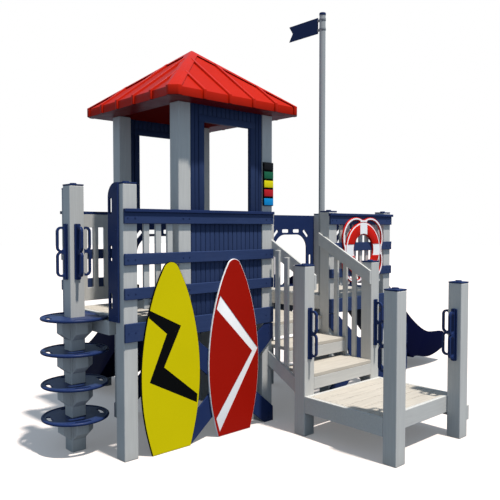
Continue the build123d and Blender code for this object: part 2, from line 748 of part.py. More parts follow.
# ---------------------------------------------------------------- life ring
RING_X = MID_LANDING + RING_SHIFT
RING_PLANE = Plane(origin=(RING_X, FRONT - SLAT_T, RING_Z), x_dir=(1, 0, 0), z_dir=(0, -1, 0))
KNOT_TURN = 5  # degrees from the middle of a band to the end of a rope loop
with BuildPart() as life_ring:
    with BuildSketch(RING_PLANE):
        Circle(RING_R)
        Circle(RING_HOLE_R, mode=Mode.SUBTRACT)
        for turn in range(4):
            start, middle, end = [
                Vector(reach, 0).rotate(Axis.Z, 90 * turn + angle)
                for reach, angle in (
                    (ROPE_KNOT_R, KNOT_TURN),
                    (ROPE_LOOP_R, 45),
                    (ROPE_KNOT_R, 90 - KNOT_TURN),
                )
            ]
            with BuildLine(mode=Mode.PRIVATE) as loop:
                ThreePointArc(start, middle, end)
            trace(loop.line, line_width=ROPE_W)
        for turn in range(4):
            band = (ROPE_KNOT_R + ROPE_W / 2 - RING_HOLE_R) / 2
            with PolarLocations(RING_HOLE_R + band, 1, start_angle=90 * turn):
                Rectangle(2 * band, RING_BAND_W)
    extrude(amount=RING_T)
save(life_ring, "life_ring")

# ---------------------------------------------------------------- flagpole
POLE_Y = HALF + CAP_LIP + FIT + POLE_R
FLAG_TOP = POLE_TOP - FLAG_DROP
FLAG_LOW = FLAG_TOP - FLAG_H
FLAG_START = POLE_Y + POLE_R + FLAG_BRACKET
with BuildPart() as flagpole:
    with Locations((X_LAND, POLE_Y, DECK)):
        Cylinder(POLE_R, POLE_TOP - DECK, align=(Align.CENTER, Align.CENTER, Align.MIN))
    for z in (FLAG_LOW + 0.2 * FLAG_H, FLAG_TOP - 0.2 * FLAG_H):
        block((X_LAND - FLAG_T, X_LAND + FLAG_T), (POLE_Y, FLAG_START), (z - FLAG_T, z + FLAG_T))
    for z in (DECK + 0.3 * BARRIER, DECK + 0.9 * BARRIER):
        block((X_LAND - POLE_R, X_LAND + POLE_R), (HALF, POLE_Y), (z - POLE_R, z + POLE_R))
save(flagpole, "flagpole")

with BuildPart() as flag:
    with BuildSketch(Plane.YZ.offset(X_LAND - FLAG_T / 2)):
        with BuildLine():
            Polyline(
                (FLAG_START, FLAG_LOW),
                (FLAG_START, FLAG_TOP),
                (FLAG_START + FLAG_L, FLAG_TOP),
                (FLAG_START + FLAG_L - FLAG_NOTCH, (FLAG_LOW + FLAG_TOP) / 2),
                (FLAG_START + FLAG_L, FLAG_LOW),
                close=True,
            )
        make_face()
    extrude(amount=FLAG_T)
save(flag, "flag")

# ---------------------------------------------------------------- roof
ROOF_X = BAY + POST + 2 * ROOF_OVERHANG
ROOF_Y = DEPTH + POST + 2 * ROOF_OVERHANG
EAVE_TOP = EAVE + ROOF_FASCIA


def roof_outline(z, cut_x, cut_y, corner):
    """Rectangle with cut corners, smaller than the eave by a cut along X and along Y."""
    with BuildSketch(Plane.XY.offset(z)) as outline:
        with Locations((MID_TOWER, DEPTH / 2)):
            Rectangle(ROOF_X - cut_x, ROOF_Y - cut_y)
        chamfer(outline.vertices(), corner)
    return outline.sketch


APEX_CUTS = (ROOF_X - APEX_FLAT, ROOF_Y - APEX_FLAT)
HOLLOW_CUTS = (ROOF_X - 2 * APEX_FLAT, ROOF_Y - 2 * APEX_FLAT)
with BuildPart() as roof:
    extrude(roof_outline(EAVE, 0, 0, ROOF_CORNER), amount=ROOF_FASCIA)
    loft([roof_outline(EAVE_TOP, 0, 0, ROOF_CORNER), roof_outline(APEX, *APEX_CUTS, 0.3 * APEX_FLAT)])
    loft(
        [
            roof_outline(EAVE, 2 * ROOF_SEAT, 2 * ROOF_SEAT, ROOF_CORNER),
            roof_outline(APEX - 6 * ROOF_SHELL, *HOLLOW_CUTS, 0.3 * APEX_FLAT),
        ],
        mode=Mode.SUBTRACT,
    )
save(roof, "roof")


# ---------------------------------------------------------------- handles and plates
def handle_outline(plane):
    """Spine on the post with two round-ended loops, one above the other; x points away from the post."""
    loop = 0.46 * HANDLE_H
    with BuildSketch(plane) as outline:
        Rectangle(1.2 * HANDLE_BAR, HANDLE_H, align=(Align.MIN, Align.MIN))
        for middle in (0.28 * HANDLE_H, 0.72 * HANDLE_H):
            with Locations((HANDLE_REACH / 2, middle)):
                RectangleRounded(HANDLE_REACH, loop, 0.49 * HANDLE_REACH)
        for middle in (0.28 * HANDLE_H, 0.72 * HANDLE_H):
            hole = HANDLE_REACH - 2.2 * HANDLE_BAR
            with Locations((1.2 * HANDLE_BAR + hole / 2, middle)):
                RectangleRounded(hole, loop - 2 * HANDLE_BAR, 0.49 * hole, mode=Mode.SUBTRACT)
    return outline.sketch


def handles(name, places):
    """Handles on post faces, from (x, y) of the face's middle, the way it faces and the foot's level."""
    with BuildPart() as piece:
        for x, y, facing, low in places:
            away = Vector(*facing, 0)
            across = away.cross(Vector(0, 0, 1))
            extrude(
                handle_outline(Plane(origin=(x, y, low), x_dir=away, z_dir=across)),
                amount=HANDLE_T / 2,
                both=True,
            )
            plate = Plane(origin=(x, y, low), x_dir=-across, z_dir=away)
            with BuildSketch(plate) as back_plate:
                RectangleRounded(
                    HANDLE_PLATE, HANDLE_H, 0.2 * HANDLE_PLATE, align=(Align.CENTER, Align.MIN)
                )
            extrude(back_plate.sketch, amount=0.12 * HANDLE_REACH)
    save(piece, name)


handles(
    "climber_handles",
    [
        (X_CLIMB - HALF, Y_CLIMB, (-1, 0), HANDLE_HIGH),
        (X_CLIMB + HALF, Y_CLIMB, (1, 0), HANDLE_HIGH),
        (X_CLIMB, Y_CLIMB - HALF, (0, -1), HANDLE_HIGH),
        (X_CLIMB, Y_CLIMB + HALF, (0, 1), HANDLE_HIGH),
    ],
)
handles(
    "entry_handles",
    [
        (X_TOWER_R, Y_STAIR - HALF, (0, -1), HANDLE_LOW),
        (X_LAND, Y_STAIR - HALF, (0, -1), HANDLE_LOW),
        (X_TOWER_R + HALF, Y_ENTRY, (1, 0), HANDLE_LOW),
        (X_TOWER_R, Y_ENTRY + HALF, (0, 1), HANDLE_LOW),
        (X_LAND - HALF, Y_ENTRY, (-1, 0), HANDLE_LOW),
        (X_LAND, Y_ENTRY + HALF, (0, 1), HANDLE_LOW),
    ],
)

GRIP_TOP = TALL_POST_TOP + CAP_T
GRIP_INNER = GRIP_PLATE - GRIP_LIP
with BuildPart() as grip_plates:
    for y, inward in ((0, 1), (Y_BACK, -1)):
        side = Plane(origin=(X_LEFT - HALF, y, 0), x_dir=(0, inward, 0), z_dir=(inward, 0, 0))
        with BuildSketch(side) as plate:
            with BuildLine():
                Polyline(
                    (GRIP_INNER - GRIP_CORNER, GRIP_TOP),
                    (-GRIP_LIP, GRIP_TOP),
                    (-GRIP_LIP, DECK - GRIP_FOOT),
                    (GRIP_INNER, DECK - GRIP_FOOT),
                    (GRIP_INNER, GRIP_TOP - GRIP_CORNER),
                )
                TangentArc(
                    (GRIP_INNER, GRIP_TOP - GRIP_CORNER),
                    (GRIP_INNER - GRIP_CORNER, GRIP_TOP),
                    tangent=(0, 1),
                )
            make_face()
            for i in range(GRIP_SLOTS):
                with Locations(((HALF + GRIP_INNER) / 2, DECK + GRIP_SLOT_LOW + i * GRIP_SLOT_STEP)):
                    RectangleRounded(SLOT_W, GRIP_SLOT, 0.48 * SLOT_W, mode=Mode.SUBTRACT)
        extrude(plate.sketch, amount=-inward * SHEET)
save(grip_plates, "grip_plates")

with BuildPart() as plaque:
    block(
        (X_TOWER_R - HALF, X_TOWER_R + HALF),
        (FRONT - SHEET, FRONT),
        (PLAQUE_Z, PLAQUE_Z + PLAQUE_H),
    )
save(plaque, "colour_plaque")
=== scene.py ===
"""Looks of the playground tower in the style of a lifeguard station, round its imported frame."""

from math import pi, radians

import bmesh
import bpy
from mathutils import Matrix, Vector


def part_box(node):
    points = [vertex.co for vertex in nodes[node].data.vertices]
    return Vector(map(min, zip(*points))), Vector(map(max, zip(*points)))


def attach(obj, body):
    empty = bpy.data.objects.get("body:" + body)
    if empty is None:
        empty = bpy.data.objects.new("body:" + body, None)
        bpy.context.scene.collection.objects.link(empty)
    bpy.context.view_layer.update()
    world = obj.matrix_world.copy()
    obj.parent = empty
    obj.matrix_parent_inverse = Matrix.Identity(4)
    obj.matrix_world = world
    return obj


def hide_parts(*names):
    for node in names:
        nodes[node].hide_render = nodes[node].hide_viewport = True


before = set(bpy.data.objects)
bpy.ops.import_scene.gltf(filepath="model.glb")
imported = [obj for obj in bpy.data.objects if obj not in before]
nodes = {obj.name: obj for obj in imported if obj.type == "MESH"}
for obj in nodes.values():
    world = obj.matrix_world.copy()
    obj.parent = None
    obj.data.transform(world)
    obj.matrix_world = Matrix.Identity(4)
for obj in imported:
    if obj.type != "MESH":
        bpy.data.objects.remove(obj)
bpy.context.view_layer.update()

# ---------------------------------------------------------------- posts
# Square posts of grey extruded plastic lumber stand on the ground and carry everything. A faint grain runs
# along each post, its arrises are eased, and the feet collect splashed earth.


def node_group(name, inputs, outputs):
    """A shader node group with its sockets, its input node and its output node."""
    tree = bpy.data.node_groups.new(name, "ShaderNodeTree")
    for label, kind, value in inputs:
        tree.interface.new_socket(name=label, in_out="INPUT", socket_type=kind).default_value = value
    for label, kind in outputs:
        tree.interface.new_socket(name=label, in_out="OUTPUT", socket_type=kind)
    return tree, tree.nodes.new("NodeGroupInput"), tree.nodes.new("NodeGroupOutput")


def noise(tree, vector, scale, detail, rough=0.55):
    """A noise texture's value, on the coordinates given."""
    texture = tree.nodes.new("ShaderNodeTexNoise")
    texture.inputs["Scale"].default_value = scale
    texture.inputs["Detail"].default_value = detail
    texture.inputs["Roughness"].default_value = rough
    tree.links.new(vector, texture.inputs["Vector"])
    return texture.outputs["Fac"]


def spread(tree, value, low, high, out_low=0.0, out_high=1.0):
    """The value between two limits, stretched smoothly to two others."""
    ramp = tree.nodes.new("ShaderNodeMapRange")
    ramp.interpolation_type = "SMOOTHSTEP"
    for label, number in zip(("From Min", "From Max", "To Min", "To Max"), (low, high, out_low, out_high)):
        ramp.inputs[label].default_value = number
    tree.links.new(value, ramp.inputs["Value"])
    return ramp.outputs["Result"]


def arithmetic(tree, kind, first, second):
    """A Math node on two sockets or numbers."""
    node = tree.nodes.new("ShaderNodeMath")
    node.operation = kind
    for socket, value in zip(node.inputs, (first, second)):
        if isinstance(value, (int, float)):
            socket.default_value = value
        else:
            tree.links.new(value, socket)
    return node.outputs["Value"]


grain, grain_in, grain_out = node_group(
    "Extruded grain",
    [("Position", "NodeSocketVector", (0, 0, 0)), ("Along", "NodeSocketVector", (40, 40, 2))],
    [("Tone", "NodeSocketFloat"), ("Height", "NodeSocketFloat")],
)
stretched = grain.nodes.new("ShaderNodeVectorMath")
stretched.operation = "MULTIPLY"
grain.links.new(grain_in.outputs["Position"], stretched.inputs[0])
grain.links.new(grain_in.outputs["Along"], stretched.inputs[1])
streaks = noise(grain, stretched.outputs["Vector"], 2.2, 7)
fibres = noise(grain, stretched.outputs["Vector"], 9.0, 4)
clouds = noise(grain, grain_in.outputs["Position"], 1.7, 3)
tone = arithmetic(
    grain, "ADD", arithmetic(grain, "MULTIPLY", streaks, 0.6), arithmetic(grain, "MULTIPLY", clouds, 0.4)
)
relief = arithmetic(
    grain, "ADD", arithmetic(grain, "MULTIPLY", streaks, 0.4), arithmetic(grain, "MULTIPLY", fibres, 0.6)
)
grain.links.new(tone, grain_out.inputs["Tone"])
grain.links.new(relief, grain_out.inputs["Height"])

weather, weather_in, weather_out = node_group(
    "Splash and dust",
    [("Position", "NodeSocketVector", (0, 0, 0)), ("Reach", "NodeSocketFloat", 0.22)],
    [("Splash", "NodeSocketFloat"), ("Dust", "NodeSocketFloat")],
)
split = weather.nodes.new("ShaderNodeSeparateXYZ")
weather.links.new(weather_in.outputs["Position"], split.inputs["Vector"])
height_share = arithmetic(weather, "DIVIDE", split.outputs["Z"], weather_in.outputs["Reach"])
ragged = noise(weather, weather_in.outputs["Position"], 9, 6)
ragged_edge = arithmetic(weather, "ADD", height_share, arithmetic(weather, "MULTIPLY", ragged, 0.9))
patches = noise(weather, weather_in.outputs["Position"], 3.2, 8, 0.65)
weather.links.new(spread(weather, ragged_edge, 1.15, 0.35), weather_out.inputs["Splash"])
weather.links.new(spread(weather, patches, 0.5, 0.8), weather_out.inputs["Dust"])

EARTH = (0.33, 0.29, 0.24)
DUST = (0.55, 0.52, 0.47)
GLOSS_RANGE = 0.05  # either way


def plastic(
    name, colour, roughness, along, contrast=0.05, splash=0.2, dust=0.0, bump=0.2, depth=0.0004, shine=0.12
):
    """Outdoor plastic: its colour a little streaked, with a grain, earth at the foot and dust.

    Along stretches the grain; contrast, splash and dust are shares; bump and depth raise the grain.
    """
    material = bpy.data.materials.new(name)
    material.use_nodes = True
    tree = material.node_tree
    shader = tree.nodes["Principled BSDF"]
    where = tree.nodes.new("ShaderNodeTexCoord").outputs["Object"]
    texture = tree.nodes.new("ShaderNodeGroup")
    texture.node_tree = grain
    texture.inputs["Along"].default_value = along
    tree.links.new(where, texture.inputs["Position"])
    dirt = tree.nodes.new("ShaderNodeGroup")
    dirt.node_tree = weather
    tree.links.new(where, dirt.inputs["Position"])
    streaky = tree.nodes.new("ShaderNodeMix")
    streaky.data_type = "RGBA"
    streaky.inputs["A"].default_value = (*[c * (1 - contrast) for c in colour], 1)
    streaky.inputs["B"].default_value = (*[min(1, c * (1 + contrast)) for c in colour], 1)
    tree.links.new(spread(tree, texture.outputs["Tone"], 0.35, 0.65), streaky.inputs["Factor"])
    last = streaky.outputs["Result"]
    for label, strength, tint in (("Splash", splash, EARTH), ("Dust", dust, DUST)):
        if strength:
            layer = tree.nodes.new("ShaderNodeMix")
            layer.data_type = "RGBA"
            layer.inputs["B"].default_value = (*tint, 1)
            amount = arithmetic(tree, "MULTIPLY", dirt.outputs[label], strength)
            tree.links.new(amount, layer.inputs["Factor"])
            tree.links.new(last, layer.inputs["A"])
            last = layer.outputs["Result"]
    tree.links.new(last, shader.inputs["Base Color"])
    gloss = spread(tree, texture.outputs["Tone"], 0.3, 0.7, roughness - GLOSS_RANGE, roughness + GLOSS_RANGE)
    tree.links.new(gloss, shader.inputs["Roughness"])
    shader.inputs["Specular IOR Level"].default_value = shine
    surface = tree.nodes.new("ShaderNodeBump")
    surface.inputs["Strength"].default_value = bump
    surface.inputs["Distance"].default_value = depth
    tree.links.new(texture.outputs["Height"], surface.inputs["Height"])
    tree.links.new(surface.outputs["Normal"], shader.inputs["Normal"])
    return material


WELD = 0.00005
FLAT_ANGLE = 0.6  # degrees; faces that turn less than this become one
ARRIS_ANGLE = 32  # degrees; edges that turn more than this are eased


def dress(name, material, arris=0.0):
    """Gives a node of the frame its material, and eased arrises by modifiers alone."""
    piece = nodes[name]
    for slot in piece.material_slots:
        slot.material = material
    if arris:
        weld = piece.modifiers.new("weld", "WELD")
        weld.merge_threshold = WELD
        flat = piece.modifiers.new("flat faces", "DECIMATE")
        flat.decimate_type = "DISSOLVE"
        flat.angle_limit = radians(FLAT_ANGLE)
        bevel = piece.modifiers.new("eased arris", "BEVEL")
        bevel.width = arris
        bevel.segments = 2
        bevel.limit_method = "ANGLE"
        bevel.angle_limit = radians(ARRIS_ANGLE)


GREY = (0.52, 0.505, 0.475)
POST_ARRIS = 0.007
post_lumber = plastic("grey post lumber", GREY, 0.52, (34, 34, 1.6))
for name in ("left_bay_posts", "tower_posts", "landing_posts", "stair_posts", "entry_posts", "climber_post"):
    dress(name, post_lumber, POST_ARRIS)

tower_low, tower_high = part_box("tower_posts")
left_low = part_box("left_bay_posts")[0]
landing_low, landing_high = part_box("landing_posts")
half_post = -tower_low.x
left_x = left_low.x + half_post
right_x = tower_high.x - half_post
landing_x = landing_low.x + half_post
end_x = landing_high.x - half_post
back_y = tower_high.y - half_post

# ---------------------------------------------------------------- decks, joists and fascias
# Sand-coloured deck boards lie on grey joists inside grey fascia boards, all of the same extruded lumber with
# the grain along X. Two pale countersunk screws hold each board at each end.

SAND = (0.48, 0.43, 0.365)
BOARD_ARRIS = 0.005
THIN_ARRIS = 0.004  # of the thinner boards
EVEN_GRAIN = (60, 60, 60)  # the same every way
board_lumber = plastic("grey board lumber", GREY, 0.55, (2.0, 30, 30))
deck_lumber = plastic(
    "sand deck lumber", SAND, 0.6, (1.6, 26, 26), contrast=0.09, splash=0.0, dust=0.05, bump=0.3, depth=0.0007
)
for name in ("deck_fascia", "deck_joists", "low_deck_fascia", "low_deck_side_board"):
    dress(name, board_lumber, BOARD_ARRIS)
for name in ("upper_deck_boards", "low_deck_boards", "stair_head_boards"):
    dress(name, deck_lumber, THIN_ARRIS)


def alone(piece):
    """Makes a piece the only one selected, and the active one."""
    bpy.ops.object.select_all(action="DESELECT")
    piece.select_set(True)
    bpy.context.view_layer.objects.active = piece


def named(name):
    """Names the piece just added and puts its place into its mesh."""
    piece = bpy.context.object
    piece.name = name
    bpy.ops.object.transform_apply(location=True, rotation=True, scale=True)
    return piece


NEAR = 0.001  # coordinates this close count as the same
SQUARE = 0.99  # least part of a normal along an axis in a face that is square to it


def pick(kind, test):
    """In edit mode, selects only the faces, edges or verts that pass a test."""
    bpy.ops.mesh.select_mode(type={"faces": "FACE", "edges": "EDGE", "verts": "VERT"}[kind])
    bpy.ops.mesh.select_all(action="DESELECT")
    mesh = bmesh.from_edit_mesh(bpy.context.edit_object.data)
    for item in getattr(mesh, kind):
        if test(item):
            item.select_set(True)
    mesh.select_flush_mode()
    bmesh.update_edit_mesh(bpy.context.edit_object.data)


def applied(piece, kind, **settings):
    """Adds a modifier with its settings and applies it."""
    alone(piece)
    modifier = piece.modifiers.new(kind.lower(), kind)
    for label, value in settings.items():
        setattr(modifier, label, value)
    bpy.ops.object.modifier_apply(modifier=modifier.name)


def eased(piece, width, segments=2, angle=30):
    """Rounds the arrises of a piece and shades it smooth between them."""
    applied(piece, "BEVEL", width=width, segments=segments, limit_method="ANGLE", angle_limit=radians(angle))
    bpy.ops.object.shade_smooth_by_angle(angle=radians(angle + 10))


def kept(piece, material):
    """Gives a finished piece its material and its place on the tower's one body."""
    piece.data.materials.clear()
    piece.data.materials.append(material)
    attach(piece, "root")


def copies(piece, name, places):
    """The piece copied to each place, given as a matrix, and joined to one mesh."""
    bpy.ops.object.select_all(action="DESELECT")
    for place in places:
        copy = piece.copy()
        copy.data = piece.data.copy()
        copy.data.transform(place)
        bpy.context.collection.objects.link(copy)
        copy.select_set(True)
    bpy.context.view_layer.objects.active = copy
    bpy.ops.object.join()
    bpy.data.objects.remove(piece)
    copy.name = name
    return copy


def facing(point, way):
    """The place of a head modelled facing up at the origin, that is set at a point and faces a way."""
    return Matrix.Translation(point) @ Vector(way).to_track_quat("Z", "Y").to_matrix().to_4x4()


SCREW_R = 0.0065
SCREW_H = 0.0016
SCREW_UP = 0.0004  # middle of the head, over the board
SCREW_RIM = 0.0034  # flat ring round its socket
SCREW_SOCKET = 0.001


def screw_head():
    """A flat head with a sunk socket, facing up at the origin."""
    bpy.ops.object.select_all(action="DESELECT")
    bpy.ops.mesh.primitive_cylinder_add(vertices=12, radius=SCREW_R, depth=SCREW_H, location=(0, 0, SCREW_UP))
    head = named("screw head")
    bpy.ops.object.mode_set(mode="EDIT")
    pick("faces", lambda face: face.normal.z > SQUARE)
    bpy.ops.mesh.inset(thickness=SCREW_RIM)
    bpy.ops.transform.translate(value=(0, 0, -SCREW_SOCKET))
    bpy.ops.object.mode_set(mode="OBJECT")
    return head


BOARD_W = 0.14
BOARD_GAP = 0.006


def board_middles(low, high):
    """Middles of the equal boards that fill a width."""
    count = int((high - low) // (BOARD_W + BOARD_GAP)) + 1
    pitch = (high - low + BOARD_GAP) / count
    return [low + (i + 0.5) * pitch - BOARD_GAP / 2 for i in range(count)]


low_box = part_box("low_deck_boards")
head_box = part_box("stair_head_boards")
deck_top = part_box("upper_deck_boards")[1].z
SCREW_IN = 0.02  # from the end of a board
SCREW_OFF = 0.035  # from the middle of a board
FASCIA_T = 0.038
TOWER_ROW = 0.04  # where the tower's row of boards starts
row_low = half_post
row_high = back_y - half_post
rows = [
    (low_box[0].x, low_box[1].x, board_middles(low_box[0].y, low_box[1].y), low_box[1].z),
    (head_box[0].x, head_box[1].x, board_middles(head_box[0].y, head_box[1].y), head_box[1].z),
    (left_x + FASCIA_T, 0.0, board_middles(row_low, row_high), deck_top),
    (TOWER_ROW, right_x + half_post - FASCIA_T, board_middles(row_low, row_high), deck_top),
    (landing_x - half_post + FASCIA_T, end_x - FASCIA_T, board_middles(row_low, row_high), deck_top),
]
screw_places = []
for start, end, middles, top in rows:
    for middle in middles:
        for x in (start + SCREW_IN, end - SCREW_IN):
            for y in (middle - SCREW_OFF, middle + SCREW_OFF):
                screw_places.append(Matrix.Translation((x, y, top)))
steel = plastic(
    "stainless screw", (0.45, 0.45, 0.45), 0.35, EVEN_GRAIN, contrast=0.03, splash=0.0, dust=0.1, bump=0.05
)
steel.node_tree.nodes["Principled BSDF"].inputs["Metallic"].default_value = 0.9
kept(copies(screw_head(), "deck_screws", screw_places), steel)

# ---------------------------------------------------------------- stairs
# Sand-coloured treads run between the stair rails, with a board under each nosing. A sloping grey handrail
# board, balusters and a stringer close each side. Screws hold the treads near both ends.

rail_lumber = plastic("grey rail lumber", GREY, 0.52, (20, 4, 4))
dress("stair_treads", deck_lumber, BOARD_ARRIS)
dress("stair_risers", board_lumber, THIN_ARRIS)
dress("stair_rails", rail_lumber, THIN_ARRIS)
tread_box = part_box("stair_treads")
RUN = 0.355
RISE = 0.206
TREADS = 2
SCREW_SHARES = (0.12, 0.4, 0.85)  # along the run of a tread
tread_places = []
for i in range(TREADS):
    for x in (tread_box[0].x + 2 * SCREW_IN, tread_box[1].x - 2 * SCREW_IN):
        for share in SCREW_SHARES:
            y = tread_box[0].y + (i + share) * RUN
            tread_places.append(Matrix.Translation((x, y, low_box[1].z + (i + 1) * RISE)))
kept(copies(screw_head(), "tread_screws", tread_places), steel)

# ---------------------------------------------------------------- barriers
# Grey balusters stand behind navy slats at the front. At the back grey rails hold the balusters, with navy
# slats outside. A darker navy cap board covers each barrier, and navy button-headed bolts hold the slats to
# the posts.

NAVY = (0.026, 0.044, 0.115)
CAP_NAVY = (0.015, 0.029, 0.095)
SHEET_ARRIS = 0.003
baluster_lumber = plastic("grey baluster lumber", GREY, 0.52, (30, 30, 2))
for name in ("front_balusters", "back_barriers"):
    dress(name, baluster_lumber, THIN_ARRIS)
slat_lumber = plastic("navy slat lumber", NAVY, 0.5, (2.0, 30, 30), contrast=0.08, splash=0.0, dust=0.012)
for name in ("facade_slats", "landing_slats", "back_slats"):
    dress(name, slat_lumber, BOARD_ARRIS)
cap_lumber = plastic("dark navy board", CAP_NAVY, 0.45, (2, 30, 30), contrast=0.08, splash=0.0, dust=0.012)
dress("cap_boards", cap_lumber, THIN_ARRIS)
dress("post_caps", cap_lumber, SHEET_ARRIS)
BOLT_R = 0.0078
BOLT_H = 0.004
BOLT_DOME = 0.0028  # the rounding of its top
BOLT_RIM = 0.0022  # flat ring round its socket
BOLT_SOCKET = 0.002


def bolt_head():
    """A domed button head with a hexagon socket, facing up at the origin."""
    bpy.ops.object.select_all(action="DESELECT")
    bpy.ops.mesh.primitive_cylinder_add(vertices=14, radius=BOLT_R, depth=BOLT_H, location=(0, 0, BOLT_H / 2))
    head = named("bolt head")
    bpy.ops.object.mode_set(mode="EDIT")
    pick("edges", lambda edge: all(vert.co.z > BOLT_H - NEAR for vert in edge.verts))
    bpy.ops.mesh.bevel(offset=BOLT_DOME, segments=2)
    pick("faces", lambda face: face.normal.z > SQUARE)
    bpy.ops.mesh.inset(thickness=BOLT_RIM)
    bpy.ops.transform.translate(value=(0, 0, -BOLT_SOCKET))
    bpy.ops.object.mode_set(mode="OBJECT")
    bpy.ops.object.shade_smooth_by_angle(angle=radians(40))
    return head


slat_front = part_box("facade_slats")[0].y
slat_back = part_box("back_slats")[1].y
rail_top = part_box("cap_boards")[1].z
FACADE_DROPS = (0.081, 0.443, 0.745, 1.0855)  # middles of the slats, under the top of the barrier
LANDING_DROPS = (0.081, 0.397, 0.705, 1.0855)
BOLT_OFF = 0.036  # from the middle of a post
bolt_places = []
for columns, drops, y, way in (
    ((left_x, 0, right_x), FACADE_DROPS, slat_front, (0, -1, 0)),
    ((landing_x, end_x), LANDING_DROPS, slat_front, (0, -1, 0)),
    ((left_x, right_x, landing_x), FACADE_DROPS[1:3], slat_back, (0, 1, 0)),
):
    for x in columns:
        for drop in drops:
            for side in (-BOLT_OFF, BOLT_OFF):
                bolt_places.append(facing((x + side, y, rail_top - drop), way))
kept(copies(bolt_head(), "slat_bolts", bolt_places), cap_lumber)

# ---------------------------------------------------------------- tower room walls
# Navy beaded boards close the front and the back of the look-out round a window each. Narrow boards stand
# side by side on both faces of a sheet, and a plain trim board frames the window.

WALL_NAVY = (0.023, 0.039, 0.100)
WALL_ARRIS = 0.002
wall_board = plastic("navy beaded board", WALL_NAVY, 0.5, (30, 30, 2), contrast=0.07, splash=0.0, dust=0.01)
dress("tower_front_wall", wall_board, WALL_ARRIS)
dress("tower_back_wall", wall_board, WALL_ARRIS)
JAMB = 0.163  # from the side of a wall to its window
WINDOW_HEAD = 3.065
TRIM_W = 0.062
TRIM_T = 0.011
BEAD_T = 0.006
BEAD_GAP = 0.009
BEAD_PITCH = 0.057
BEAD_R = 0.0025
CAP_T = 0.03


def slab(name, x, y, z):
    """A box from its low and high coordinate along each axis, the start of a piece."""
    bpy.ops.object.select_all(action="DESELECT")
    middle = [(low + high) / 2 for low, high in (x, y, z)]
    bpy.ops.mesh.primitive_cube_add(size=1, location=middle, scale=[high - low for low, high in (x, y, z)])
    return named(name)


def beaded_field(x, y, z):
    """Upright boards side by side across a width, with a groove between each two."""
    count = max(1, round((x[1] - x[0]) / BEAD_PITCH))
    pitch = (x[1] - x[0]) / count
    board = slab("beaded board", (x[0], x[0] + pitch - BEAD_GAP), y, z)
    eased(board, BEAD_R)
    applied(
        board,
        "ARRAY",
        count=count,
        use_relative_offset=False,
        use_constant_offset=True,
        constant_offset_displace=(pitch, 0, 0),
    )
    return board


def joined(pieces, name):
    """The pieces joined to one mesh, with a name."""
    bpy.ops.object.select_all(action="DESELECT")
    for piece in pieces:
        piece.select_set(True)
    bpy.context.view_layer.objects.active = pieces[0]
    bpy.ops.object.join()
    pieces[0].name = name
    return pieces[0]


for node, boarded_low in (("tower_front_wall", True), ("tower_back_wall", False)):
    wall_low, wall_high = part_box(node)
    window = (wall_low.x + JAMB, wall_high.x - JAMB)
    trim_x = (window[0] - TRIM_W, window[1] + TRIM_W)
    fields = []
    for way, face in ((-1, wall_low.y), (1, wall_high.y)):
        bead_y = sorted((face, face + way * BEAD_T))
        trim_y = sorted((face, face + way * TRIM_T))
        if boarded_low:
            low_z = (wall_low.z, rail_top - CAP_T)
            fields.append(beaded_field((wall_low.x + BEAD_GAP, wall_high.x), bead_y, low_z))
        fields.append(beaded_field((wall_low.x + BEAD_GAP, trim_x[0]), bead_y, (rail_top, wall_high.z)))
        fields.append(beaded_field((trim_x[1] + BEAD_GAP, wall_high.x), bead_y, (rail_top, wall_high.z)))
        fields.append(beaded_field(trim_x, bead_y, (WINDOW_HEAD + TRIM_W, wall_high.z)))
        for x, z in (
            ((trim_x[0], window[0]), (rail_top, WINDOW_HEAD)),
            ((window[1], trim_x[1]), (rail_top, WINDOW_HEAD)),
            (trim_x, (WINDOW_HEAD, WINDOW_HEAD + TRIM_W)),
        ):
            trim = slab("window trim", x, trim_y, z)
            eased(trim, WALL_ARRIS)
            fields.append(trim)
    kept(joined(fields, f"{node}_boards"), wall_board)

# ---------------------------------------------------------------- cut-out panels
# Sheets of dark navy polyethylene with routed, rounded edges: entry panels, cross braces and grip plates.
# Button-headed bolts hold them to the posts.

DARK_NAVY = (0.015, 0.029, 0.098)
sheet_navy = plastic(
    "navy sheet", DARK_NAVY, 0.4, EVEN_GRAIN, contrast=0.05, splash=0.06, dust=0.01, bump=0.1, depth=0.0002
)
entry_panels = ("tower_back_entry_panel", "landing_back_entry_panel", "landing_side_entry_panel")
cross_braces = {"brace_panel_front": -1, "brace_panel_back": 1, "brace_panel_landing": -1}  # way each faces
for name in (*entry_panels, *cross_braces, "grip_plates"):
    dress(name, sheet_navy, SHEET_ARRIS)
PANEL_BOLTS = 5  # up each side
EDGE_IN = 0.032
GRIP_BOLT_IN = 0.02
GRIP_BOLT_SHARES = (0.04, 0.35, 0.66, 0.96)  # up a grip plate
bolt_places = []
for name in entry_panels:
    low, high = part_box(name)
    pitch = (high.z - low.z - 2 * EDGE_IN) / (PANEL_BOLTS - 1)
    for i in range(PANEL_BOLTS):
        z = low.z + EDGE_IN + i * pitch
        if high.x - low.x > high.y - low.y:
            for x in (low.x + EDGE_IN, high.x - EDGE_IN):
                bolt_places.append(facing((x, high.y, z), (0, 1, 0)))
        else:
            for y in (low.y + EDGE_IN, high.y - EDGE_IN):
                bolt_places.append(facing((high.x, y, z), (1, 0, 0)))
for name, way in cross_braces.items():
    low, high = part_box(name)
    y = low.y if way < 0 else high.y
    for x in (low.x + 2 * EDGE_IN, high.x - 2 * EDGE_IN):
        for z in (low.z + EDGE_IN, low.z + 3 * EDGE_IN, high.z - 3 * EDGE_IN, high.z - EDGE_IN):
            bolt_places.append(facing((x, y, z), (0, way, 0)))
low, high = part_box("grip_plates")
for y in (GRIP_BOLT_IN, back_y - GRIP_BOLT_IN):
    for share in GRIP_BOLT_SHARES:
        bolt_places.append(facing((low.x, y, low.z + share * (high.z - low.z)), (-1, 0, 0)))
kept(copies(bolt_head(), "panel_bolts", bolt_places), sheet_navy)

